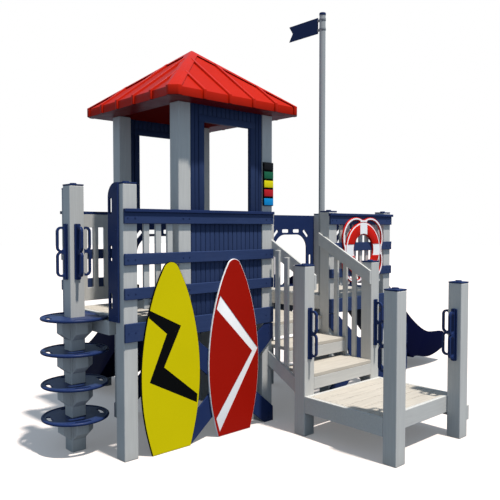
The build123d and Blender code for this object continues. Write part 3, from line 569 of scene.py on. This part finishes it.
# ---------------------------------------------------------------- climber and handles
# Discs with a raised rim stand up the climber post on grey gussets, the highest next to boards that stand out
# from the deck. Moulded handles with rounded bars sit on the climber, stair and entry posts.

DISC_ARRIS = 0.004
HANDLE_ARRIS = 0.005
climber_navy = plastic(
    "navy moulded disc", DARK_NAVY, 0.38, (40, 40, 40), 0.05, splash=0.05, dust=0.015, bump=0.12, depth=0.0002
)
dress("climber_discs", climber_navy, DISC_ARRIS)
dress("climber_gussets", baluster_lumber, SHEET_ARRIS)
dress("climber_step", board_lumber, THIN_ARRIS)
dress("climber_handles", climber_navy, HANDLE_ARRIS)
dress("entry_handles", climber_navy, HANDLE_ARRIS)

# ---------------------------------------------------------------- slides
# Three one-piece polyethylene troughs in a deep navy. Every rim and edge of the moulding is well rounded.
# Their short grey feet stand on the ground.


def node_copy(name, source):
    """A new piece with a node's mesh, its flat faces made whole."""
    piece = bpy.data.objects.new(name, nodes[source].data.copy())
    bpy.context.collection.objects.link(piece)
    piece.data.materials.clear()
    alone(piece)
    bpy.ops.object.mode_set(mode="EDIT")
    bpy.ops.mesh.select_all(action="SELECT")
    bpy.ops.mesh.remove_doubles(threshold=0.00002)
    bpy.ops.mesh.dissolve_limited(angle_limit=radians(0.5))
    bpy.ops.object.mode_set(mode="OBJECT")
    return piece


SLIDE_NAVY = (0.0006, 0.0012, 0.022)
SLIDE_R = 0.013
slide_navy = plastic(
    "navy slide moulding", SLIDE_NAVY, 0.34, (3, 3, 3), contrast=0.04, splash=0.0, bump=0.03, shine=0.03
)
slide_names = ("landing_side_slide", "landing_back_slide", "tower_back_slide")
for name in slide_names:
    moulding = node_copy(f"{name}_moulding", name)
    eased(moulding, SLIDE_R, segments=4, angle=40)
    kept(moulding, slide_navy)
    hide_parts(name)
dress("slide_feet", board_lumber, THIN_ARRIS)

# ---------------------------------------------------------------- roof
# A moulded red pyramid on a straight fascia, hollow below, with painted shade, a darker red, on the faces
# that point down. Wide caps run down its four hips and over the cut corners. Four narrow standing seams,
# tapered in section, run up each face and down the fascia.

FASCIA = 0.088
ROOF_CORNER = 0.056
ROOF_SEAT = 0.25  # flat below, from the fascia to the hollow
HOLLOW = 0.62  # height of the hollow as a share of the roof's
HOLLOW_TOP = 0.08  # its width at the top as a share of that at the foot
APEX_FLAT = 0.012
CAP_LIFT = 0.015
HIP_CAP = 0.064  # half width
SEAM = 0.022  # half width at its foot
SEAM_LIFT = 0.016
SEAM_TAPER = 0.7  # its top as a share of its foot
SEAM_AT = (0.151, 0.454)  # on both sides of the middle of a face
EDGE_SHARE = 0.9  # the fascia lies past this share of the half width
OUTSIDE = -0.05  # the outside's normals point up more than this
TOP_FACE = 0.3  # and those of its sloping faces more than this
PAINTED_SHADE_Z = -0.3  # painted shade: faces whose normals point up less than this get the darker red
ROOF_ARRIS = 0.004
SEAM_ARRIS = 0.003
ROOF_RED = (0.47, 0.013, 0.0025)
# The darker red below is painted shade on the underside, not a second colour of the moulding.
ROOF_PAINTED_SHADE = (0.13, 0.002, 0.001)
roof_red = plastic(
    "red roof moulding with painted shade", ROOF_RED, 0.36, (5, 5, 5), contrast=0.04, splash=0.0, bump=0.06, shine=0.08
)
tree = roof_red.node_tree
shader = tree.nodes["Principled BSDF"]
# Painted shade: faces that point down take the darker red in place of the roof red.
upright = tree.nodes.new("ShaderNodeSeparateXYZ")
tree.links.new(tree.nodes.new("ShaderNodeNewGeometry").outputs["Normal"], upright.inputs["Vector"])
shade = tree.nodes.new("ShaderNodeMix")
shade.data_type = "RGBA"
shade.inputs["B"].default_value = (*ROOF_PAINTED_SHADE, 1)
tree.links.new(shader.inputs["Base Color"].links[0].from_socket, shade.inputs["A"])
tree.links.new(arithmetic(tree, "LESS_THAN", upright.outputs["Z"], PAINTED_SHADE_Z), shade.inputs["Factor"])
tree.links.new(shade.outputs["Result"], shader.inputs["Base Color"])
eave_low, eave_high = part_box("roof")
roof_middle = (eave_low + eave_high) / 2
half_x = (eave_high.x - eave_low.x - SEAM_LIFT) / 2
half_y = (eave_high.y - eave_low.y - SEAM_LIFT) / 2
slope = (eave_high.z - eave_low.z - FASCIA) / (half_x - APEX_FLAT / 2)
cosine = 1 / (1 + slope * slope) ** 0.5
fascia_top = eave_low.z + FASCIA - SEAM_LIFT / 2
base_apex = eave_high.z - CAP_LIFT / cosine
x_span = (roof_middle.x - half_x, roof_middle.x + half_x)
y_span = (roof_middle.y - half_y, roof_middle.y + half_y)
roof = slab("roof_shell", x_span, y_span, (eave_low.z, fascia_top))
bpy.ops.object.mode_set(mode="EDIT")
pick("faces", lambda face: face.normal.z < -SQUARE)
bpy.ops.mesh.inset(thickness=ROOF_SEAT)
bpy.ops.mesh.extrude_region_move(TRANSFORM_OT_translate={"value": (0, 0, HOLLOW * (base_apex - eave_low.z))})
bpy.ops.transform.resize(
    value=(HOLLOW_TOP, HOLLOW_TOP, 1), center_override=(roof_middle.x, roof_middle.y, base_apex)
)
pick("edges", lambda edge: (edge.verts[0].co - edge.verts[1].co).xy.length < NEAR)
bpy.ops.mesh.bevel(offset=ROOF_CORNER, segments=1)
pick("faces", lambda face: face.normal.z > SQUARE)
bpy.ops.mesh.extrude_region_move(TRANSFORM_OT_translate={"value": (0, 0, base_apex - fascia_top)})
apex_scale = (APEX_FLAT / 2 / half_x, APEX_FLAT / 2 / half_y, 1)
bpy.ops.transform.resize(value=apex_scale, center_override=(roof_middle.x, roof_middle.y, base_apex))
corner_x = half_x - ROOF_CORNER / 2
corner_y = half_y - ROOF_CORNER / 2
diagonals = [Vector((side * corner_y, -corner_x, 0)).normalized() for side in (-1, 1)]
for across in diagonals:
    for side in (-HIP_CAP, HIP_CAP):
        pick("faces", lambda face: face.normal.z > OUTSIDE)
        bpy.ops.mesh.bisect(plane_co=roof_middle + side * across, plane_no=across)


def on_hip(face):
    """Whether a face of the outside is part of a hip cap."""
    away = face.calc_center_median() - roof_middle
    at_edge = abs(away.x) > EDGE_SHARE * half_x or abs(away.y) > EDGE_SHARE * half_y
    outside = face.normal.z > TOP_FACE or (face.normal.z > OUTSIDE and at_edge)
    return outside and min(abs(away.dot(across)) for across in diagonals) < HIP_CAP - 2 * NEAR


pick("faces", on_hip)
bpy.ops.mesh.extrude_region_shrink_fatten(
    TRANSFORM_OT_shrink_fatten={"value": CAP_LIFT, "use_even_offset": True}
)
bpy.ops.object.mode_set(mode="OBJECT")
eased(roof, ROOF_ARRIS, angle=20)


def outline(name, points, depth):
    """A sheet in the XZ plane with the corners given, its thickness along Y."""
    bpy.ops.object.select_all(action="DESELECT")
    bpy.ops.mesh.primitive_circle_add(vertices=len(points), fill_type="NGON", rotation=(pi / 2, 0, 0))
    piece = named(name)
    for vert, (x, z) in zip(piece.data.vertices, points):
        vert.co = (x, -depth / 2, z)
    bpy.ops.object.mode_set(mode="EDIT")
    bpy.ops.mesh.select_all(action="SELECT")
    bpy.ops.mesh.extrude_region_move(TRANSFORM_OT_translate={"value": (0, depth, 0)})
    bpy.ops.mesh.select_all(action="SELECT")
    bpy.ops.mesh.normals_make_consistent(inside=False)
    bpy.ops.object.mode_set(mode="OBJECT")
    return piece


seams = []
for offset in SEAM_AT:
    corner_z = fascia_top - eave_low.z + SEAM_LIFT * (1 / cosine - slope)
    end_z = corner_z + slope * (half_x + SEAM_LIFT - offset)
    profile = [
        (half_x + SEAM_LIFT, 0.0),
        (half_x + SEAM_LIFT, corner_z),
        (offset + HIP_CAP, end_z - slope * HIP_CAP),
        (offset + HIP_CAP, end_z - slope * HIP_CAP - 2 * SEAM_LIFT),
        (half_x - SEAM_LIFT, corner_z - SEAM_LIFT),
        (half_x - SEAM_LIFT, 0.0),
    ]
    seam = outline("roof seam", profile, 2 * SEAM)
    bpy.ops.object.mode_set(mode="EDIT")
    outer = [Vector((x, z)) for x, z in profile[:3]]
    pick("verts", lambda vert: any((vert.co.xz - point).length < 2 * NEAR for point in outer))
    bpy.ops.transform.resize(value=(1, SEAM_TAPER, 1), center_override=(0, 0, 0))
    bpy.ops.object.mode_set(mode="OBJECT")
    eased(seam, SEAM_ARRIS)
    places = []
    for quarter in range(4):
        stretch = half_y / half_x if quarter % 2 else 1
        turn = Matrix.Translation((roof_middle.x, roof_middle.y, eave_low.z))
        turn = turn @ Matrix.Rotation(quarter * pi / 2, 4, "Z")
        for side in (-offset, offset):
            places.append(turn @ Matrix.Translation((half_x * (stretch - 1), side, 0)))
    seams.append(copies(seam, "roof seams", places))
roof = joined([roof, *seams], "roof_shell")
kept(roof, roof_red)
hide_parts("roof")

# ---------------------------------------------------------------- surfboards
# Two boards of two-colour sheet stand in front of the tower. A thin coloured face lies on a core of another
# colour, which shows round the face and where a zigzag is routed through it.


def clean_sheet(name, colour, roughness=0.42, contrast=0.04, bump=0.06, shine=0.05):
    """Sheet plastic with a fine even grain and no dirt."""
    return plastic(
        name, colour, roughness, EVEN_GRAIN, contrast, splash=0.0, bump=bump, depth=0.0002, shine=shine
    )


yellow = clean_sheet("yellow sheet", (0.66, 0.54, 0.001), contrast=0.03)
red = clean_sheet("red sheet", (0.37, 0.008, 0.003))
black = clean_sheet("black core", (0.003, 0.003, 0.003), roughness=0.5, contrast=0.05, bump=0.1)
white = clean_sheet("white core", (0.92, 0.90, 0.88), roughness=0.45, contrast=0.02, shine=0.12)
FACE_T = 0.003
CORE_ARRIS = 0.0015
SURF_RIM = 0.005  # core showing round a surfboard's face


def faced(node, core_colour, face_colour, rim):
    """Puts a thin face sheet on a core with its front set back, a rim inside its edge. Returns the face."""
    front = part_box(node)[0].y
    core = node_copy(f"{node}_core", node)
    face = node_copy(f"{node}_face", node)
    alone(core)
    bpy.ops.object.mode_set(mode="EDIT")
    pick("verts", lambda vert: vert.co.y < front + NEAR)
    bpy.ops.transform.translate(value=(0, FACE_T, 0))
    bpy.ops.object.mode_set(mode="OBJECT")
    eased(core, CORE_ARRIS)
    kept(core, core_colour)
    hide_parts(node)
    alone(face)
    bpy.ops.object.mode_set(mode="EDIT")
    pick("faces", lambda item: item.normal.y > -SQUARE)
    bpy.ops.mesh.delete(type="FACE")
    pick("faces", lambda item: True)
    bpy.ops.mesh.inset(thickness=rim)
    bpy.ops.mesh.select_all(action="INVERT")
    bpy.ops.mesh.delete(type="FACE")
    pick("faces", lambda item: True)
    bpy.ops.mesh.extrude_region_move(TRANSFORM_OT_translate={"value": (0, FACE_T, 0)})
    bpy.ops.mesh.select_all(action="SELECT")
    bpy.ops.mesh.normals_make_consistent(inside=False)
    bpy.ops.object.mode_set(mode="OBJECT")
    kept(face, face_colour)
    return face


def routed(sheet, cutter):
    """Cuts a shape right through a sheet."""
    applied(sheet, "BOOLEAN", object=cutter, operation="DIFFERENCE", solver="EXACT")
    bpy.data.objects.remove(cutter)


YELLOW_ZIGZAG = [
    (-0.240, 1.322),
    (0.106, 1.149),
    (-0.083, 0.787),
    (0.292, 0.478),
    (0.284, 0.398),
    (-0.240, 0.672),
    (-0.054, 1.090),
    (-0.245, 1.254),
]
RED_ZIGZAG = [
    (-0.181, 1.391),
    (0.313, 0.816),
    (-0.192, 0.049),
    (-0.236, 0.189),
    (0.236, 0.796),
    (-0.228, 1.263),
]
for node, points, core_colour, face_colour, slot in (
    ("surfboard_yellow", YELLOW_ZIGZAG, black, yellow, "yellow_sheet"),
    ("surfboard_red", RED_ZIGZAG, white, red, "red_sheet"),
):
    low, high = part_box(node)
    middle_x = (low.x + high.x) / 2
    face = faced(node, core_colour, face_colour, SURF_RIM)
    cutter = outline("zigzag", [(middle_x + x, z) for x, z in points], 6 * FACE_T)
    cutter.data.transform(Matrix.Translation((0, low.y, 0)))
    routed(face, cutter)

# ---------------------------------------------------------------- life ring
# A flat ring of two-colour sheet with its rope cut from the same sheet. A white face lies on a red core,
# which leaves red edges along the rope, and four red sectors lie on the face between its white bands.

RING_R = 0.337
RING_HOLE_R = 0.190
BAND_W = 0.140
BAND_L = 0.8  # past the ring's edges
BAND_T = 0.04  # of the cutter, through the sectors
SECTOR_RIM = 0.022
SECTOR_BORE = 0.004  # face showing round the hole
ROPE_RIM = 0.008  # red edge along each side of the rope
GROOVE = 0.010
ring_red = clean_sheet("red ring sheet", (0.58, 0.012, 0.005), bump=0.08)
ring_low, ring_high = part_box("life_ring")
ring_middle = (ring_low + ring_high) / 2
ring_face = faced("life_ring", ring_red, white, ROPE_RIM)


def ring_disc(name, radius, thickness):
    """A disc round the middle of the ring, through its front."""
    bpy.ops.object.select_all(action="DESELECT")
    bpy.ops.mesh.primitive_cylinder_add(
        vertices=96,
        radius=radius,
        depth=thickness,
        location=(ring_middle.x, ring_low.y, ring_middle.z),
        rotation=(pi / 2, 0, 0),
    )
    return named(name)


groove = ring_disc("groove", RING_R + GROOVE / 2, 4 * FACE_T)
routed(groove, ring_disc("groove bore", RING_R - GROOVE / 2, 8 * FACE_T))
routed(ring_face, groove)
sectors = ring_disc("ring_sectors", RING_R - SECTOR_RIM, 2 * FACE_T)
routed(sectors, ring_disc("bore", RING_HOLE_R + SECTOR_BORE, 8 * FACE_T))
band_y = (ring_low.y - BAND_T / 2, ring_low.y + BAND_T / 2)
for x, z in ((BAND_W / 2, BAND_L / 2), (BAND_L / 2, BAND_W / 2)):
    x_band = (ring_middle.x - x, ring_middle.x + x)
    routed(sectors, slab("band", x_band, band_y, (ring_middle.z - z, ring_middle.z + z)))
eased(sectors, CORE_ARRIS)
kept(sectors, ring_red)

# ---------------------------------------------------------------- flagpole and flag
# A painted steel pole with a rounded navy cap stands behind the front of the landing. A navy swallow-tailed
# sheet flag is held by two clamps of painted steel.

POLE_GREY = (0.265, 0.275, 0.28)
POLE_R = 0.036
POLE_ARRIS = 0.002
COLLAR_H = 0.03  # height of the cap and of a clamp
CAP_RISE = 0.002  # of the cap over the pole
CAP_OUT = 0.003  # of the cap round the pole
CAP_ROUND = 0.006
CLAMP_OUT = 0.004
CLAMP_SHARES = (0.2, 0.8)  # up the flag
pole_paint = plastic(
    "grey pole paint", POLE_GREY, 0.38, EVEN_GRAIN, contrast=0.04, splash=0.0, dust=0.02, bump=0.05
)
dress("flagpole", pole_paint, POLE_ARRIS)
dress("flag", sheet_navy, POLE_ARRIS)
pole_low, pole_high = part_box("flagpole")
flag_low, flag_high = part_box("flag")


def collar(name, radius, z):
    """A short drum round the pole."""
    bpy.ops.object.select_all(action="DESELECT")
    bpy.ops.mesh.primitive_cylinder_add(
        vertices=40, radius=radius, depth=COLLAR_H, location=(landing_x, pole_low.y + POLE_R, z)
    )
    return named(name)


cap = collar("flagpole_cap", POLE_R + CAP_OUT, pole_high.z + CAP_RISE - COLLAR_H / 2)
eased(cap, CAP_ROUND, segments=3)
kept(cap, sheet_navy)
clamps = []
for share in CLAMP_SHARES:
    clamp = collar("clamp", POLE_R + CLAMP_OUT, flag_low.z + share * (flag_high.z - flag_low.z))
    eased(clamp, SHEET_ARRIS)
    clamps.append(clamp)
kept(joined(clamps, "flag_clamps"), pole_paint)

# ---------------------------------------------------------------- colour plaque
# Five rounded blocks stand one under the other on a black back: from the top black, green, yellow, red and
# blue. Each is moulded in its own colour.

dress("colour_plaque", black, SHEET_ARRIS)
plaque_low, plaque_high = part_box("colour_plaque")
BLOCK_COLOURS = (
    ("black", (0.008, 0.008, 0.009)),
    ("green", (0.012, 0.115, 0.055)),
    ("yellow", (0.72, 0.62, 0.004)),
    ("red", (0.45, 0.012, 0.018)),
    ("blue", (0.004, 0.235, 0.55)),
)
BLOCK_GAP = 0.020
BLOCK_LIFT = 0.007
BLOCK_SUNK = 0.004
BLOCK_R = 0.004
block_h = (plaque_high.z - plaque_low.z + BLOCK_GAP / 2) / len(BLOCK_COLOURS) - BLOCK_GAP
for number, (colour_name, colour) in enumerate(BLOCK_COLOURS):
    top = plaque_high.z - BLOCK_GAP / 4 - number * (block_h + BLOCK_GAP)
    x_block = (plaque_low.x + BLOCK_GAP / 4, plaque_high.x - BLOCK_GAP / 4)
    y_block = (plaque_low.y - BLOCK_LIFT, plaque_low.y + BLOCK_SUNK)
    block = slab(f"plaque_{colour_name}", x_block, y_block, (top - block_h, top))
    eased(block, BLOCK_R, segments=3)
    moulded = plastic(
        f"{colour_name} plaque", colour, 0.38, (40, 40, 40), 0.04, splash=0.0, bump=0.06, depth=0.0002
    )
    kept(block, moulded)

# ---------------------------------------------------------------- floor, light and camera
# The camera sees a matt white floor with the tower's shadow, and white beyond it. A pale blue sky and one
# warm sun light the tower.

FLOOR_SEEN = (0.66, 0.585, 0.545)
FLOOR_BOUNCE = (0.15, 0.17, 0.20)
FLOOR_GLOW = 0.15  # seen by the camera alone
SKY = (0.29, 0.40, 0.53)
SUN_WAY = Vector((-0.03, 0.34, -0.94))
SUN_STRENGTH = 5.0
SUN_COLOUR = (1.0, 0.975, 0.93)
SUN_WIDTH = 2.5  # degrees across
CAMERA_AT = (-3.374, -4.699, 2.060)
CAMERA_TURN = (87.845, 0, -42.18)  # degrees round each axis
LENS = 43.88
bpy.ops.object.select_all(action="DESELECT")
bpy.ops.mesh.primitive_plane_add(size=120, location=(0, 0, 0))
floor = bpy.context.object
floor.name = "floor"
paper = bpy.data.materials.new("studio floor")
paper.use_nodes = True
tree = paper.node_tree
tree.nodes.remove(tree.nodes["Principled BSDF"])
seen = tree.nodes.new("ShaderNodeLightPath").outputs["Is Camera Ray"]
matt = tree.nodes.new("ShaderNodeBsdfDiffuse")
bounce = tree.nodes.new("ShaderNodeMix")
bounce.data_type = "RGBA"
bounce.inputs["A"].default_value = (*FLOOR_BOUNCE, 1)
bounce.inputs["B"].default_value = (*FLOOR_SEEN, 1)
tree.links.new(seen, bounce.inputs["Factor"])
tree.links.new(bounce.outputs["Result"], matt.inputs["Color"])
glow = tree.nodes.new("ShaderNodeEmission")
glow.inputs["Color"].default_value = (1, 1, 1, 1)
tree.links.new(arithmetic(tree, "MULTIPLY", seen, FLOOR_GLOW), glow.inputs["Strength"])
both = tree.nodes.new("ShaderNodeAddShader")
tree.links.new(matt.outputs["BSDF"], both.inputs[0])
tree.links.new(glow.outputs["Emission"], both.inputs[1])
tree.links.new(both.outputs["Shader"], tree.nodes["Material Output"].inputs["Surface"])
floor.data.materials.append(paper)

world = bpy.data.worlds.new("studio")
bpy.context.scene.world = world
world.use_nodes = True
tree = world.node_tree
sky = tree.nodes["Background"]
sky.inputs["Color"].default_value = (*SKY, 1)
sky.inputs["Strength"].default_value = 1
backdrop = tree.nodes.new("ShaderNodeBackground")
backdrop.inputs["Color"].default_value = (1, 1, 1, 1)
choose = tree.nodes.new("ShaderNodeMixShader")
tree.links.new(tree.nodes.new("ShaderNodeLightPath").outputs["Is Camera Ray"], choose.inputs["Fac"])
tree.links.new(sky.outputs["Background"], choose.inputs[1])
tree.links.new(backdrop.outputs["Background"], choose.inputs[2])
tree.links.new(choose.outputs["Shader"], tree.nodes["World Output"].inputs["Surface"])

sun_turn = SUN_WAY.to_track_quat("-Z", "Y").to_euler()
bpy.ops.object.light_add(type="SUN", location=(0, -3, 8), rotation=sun_turn)
sun = bpy.context.object
sun.data.energy = SUN_STRENGTH
sun.data.angle = radians(SUN_WIDTH)
sun.data.color = SUN_COLOUR

bpy.ops.object.camera_add(location=CAMERA_AT, rotation=[radians(angle) for angle in CAMERA_TURN])
camera = bpy.context.object
camera.data.sensor_width = 36
camera.data.lens = LENS
camera.data.clip_end = 200
bpy.context.scene.camera = camera
bpy.context.scene.view_settings.view_transform = "Standard"
